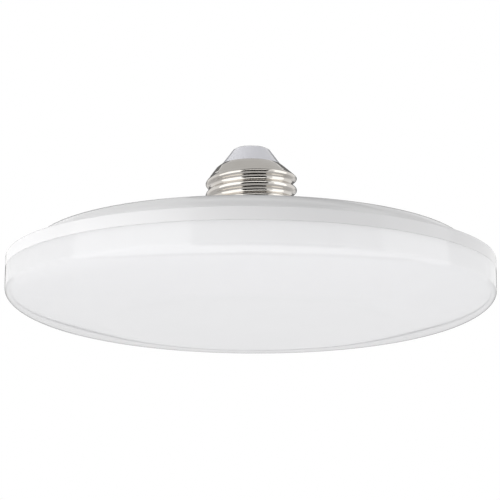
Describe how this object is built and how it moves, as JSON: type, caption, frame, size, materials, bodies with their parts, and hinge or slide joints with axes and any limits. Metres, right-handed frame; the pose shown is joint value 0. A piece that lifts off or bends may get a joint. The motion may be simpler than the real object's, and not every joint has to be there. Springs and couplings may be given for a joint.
{
  "type": "disc led bulb with screw base",
  "caption": "Flat disc-shaped LED bulb: shallow opal diffuser snapped into a white housing, with a medium screw base on the axis and its driver inside.",
  "frame": {"origin": "centre of the flat of the light-giving face, on the bulb's axis, at its lowest point", "axes": "+Z along the bulb's axis towards the tip of the screw base; +X and +Y across the disc"},
  "size_m": [0.1406, 0.1406, 0.0526],
  "materials": {
    "opal_diffuser": "opal white polycarbonate, satin",
    "white_housing": "white moulded plastic, semi-gloss",
    "nickel_shell": "nickel-plated brass, rolled",
    "white_insulator": "white moulded insulator",
    "contact_tin": "tinned brass",
    "board_white": "aluminium core, white solder mask",
    "led_phosphor": "white body with yellow phosphor",
    "screw_steel": "zinc-plated steel",
    "socket_plastic": "natural nylon",
    "tinned_wire": "tinned copper",
    "driver_laminate": "green glass-epoxy board",
    "capacitor_sleeve": "shrink sleeve on aluminium can",
    "ferrite": "dark grey ferrite",
    "winding_tape": "yellow polyester tape",
    "film_capacitor_red": "dipped epoxy",
    "resistor_body": "painted ceramic",
    "black_epoxy": "moulded epoxy"
  },
  "bodies": {
    "root": {"diffuser": "opal_diffuser", "back_housing": "white_housing", "screw_shell": "nickel_shell", "base_insulator": "white_insulator", "centre_contact": "contact_tin", "led_board": "board_white", "led_chips": "led_phosphor", "board_screws": "screw_steel", "pin_socket": "socket_plastic", "output_pins": "tinned_wire", "driver_board": "driver_laminate", "input_capacitor": "capacitor_sleeve", "output_capacitor": "capacitor_sleeve", "transformer_core": "ferrite", "transformer_winding": "winding_tape", "film_capacitor": "film_capacitor_red", "fuse_resistor": "resistor_body", "bridge_rectifier": "black_epoxy", "control_chip": "black_epoxy", "chip_resistors": "black_epoxy", "live_lead": "tinned_wire", "neutral_lead": "tinned_wire"}
  },
  "joints": []
}
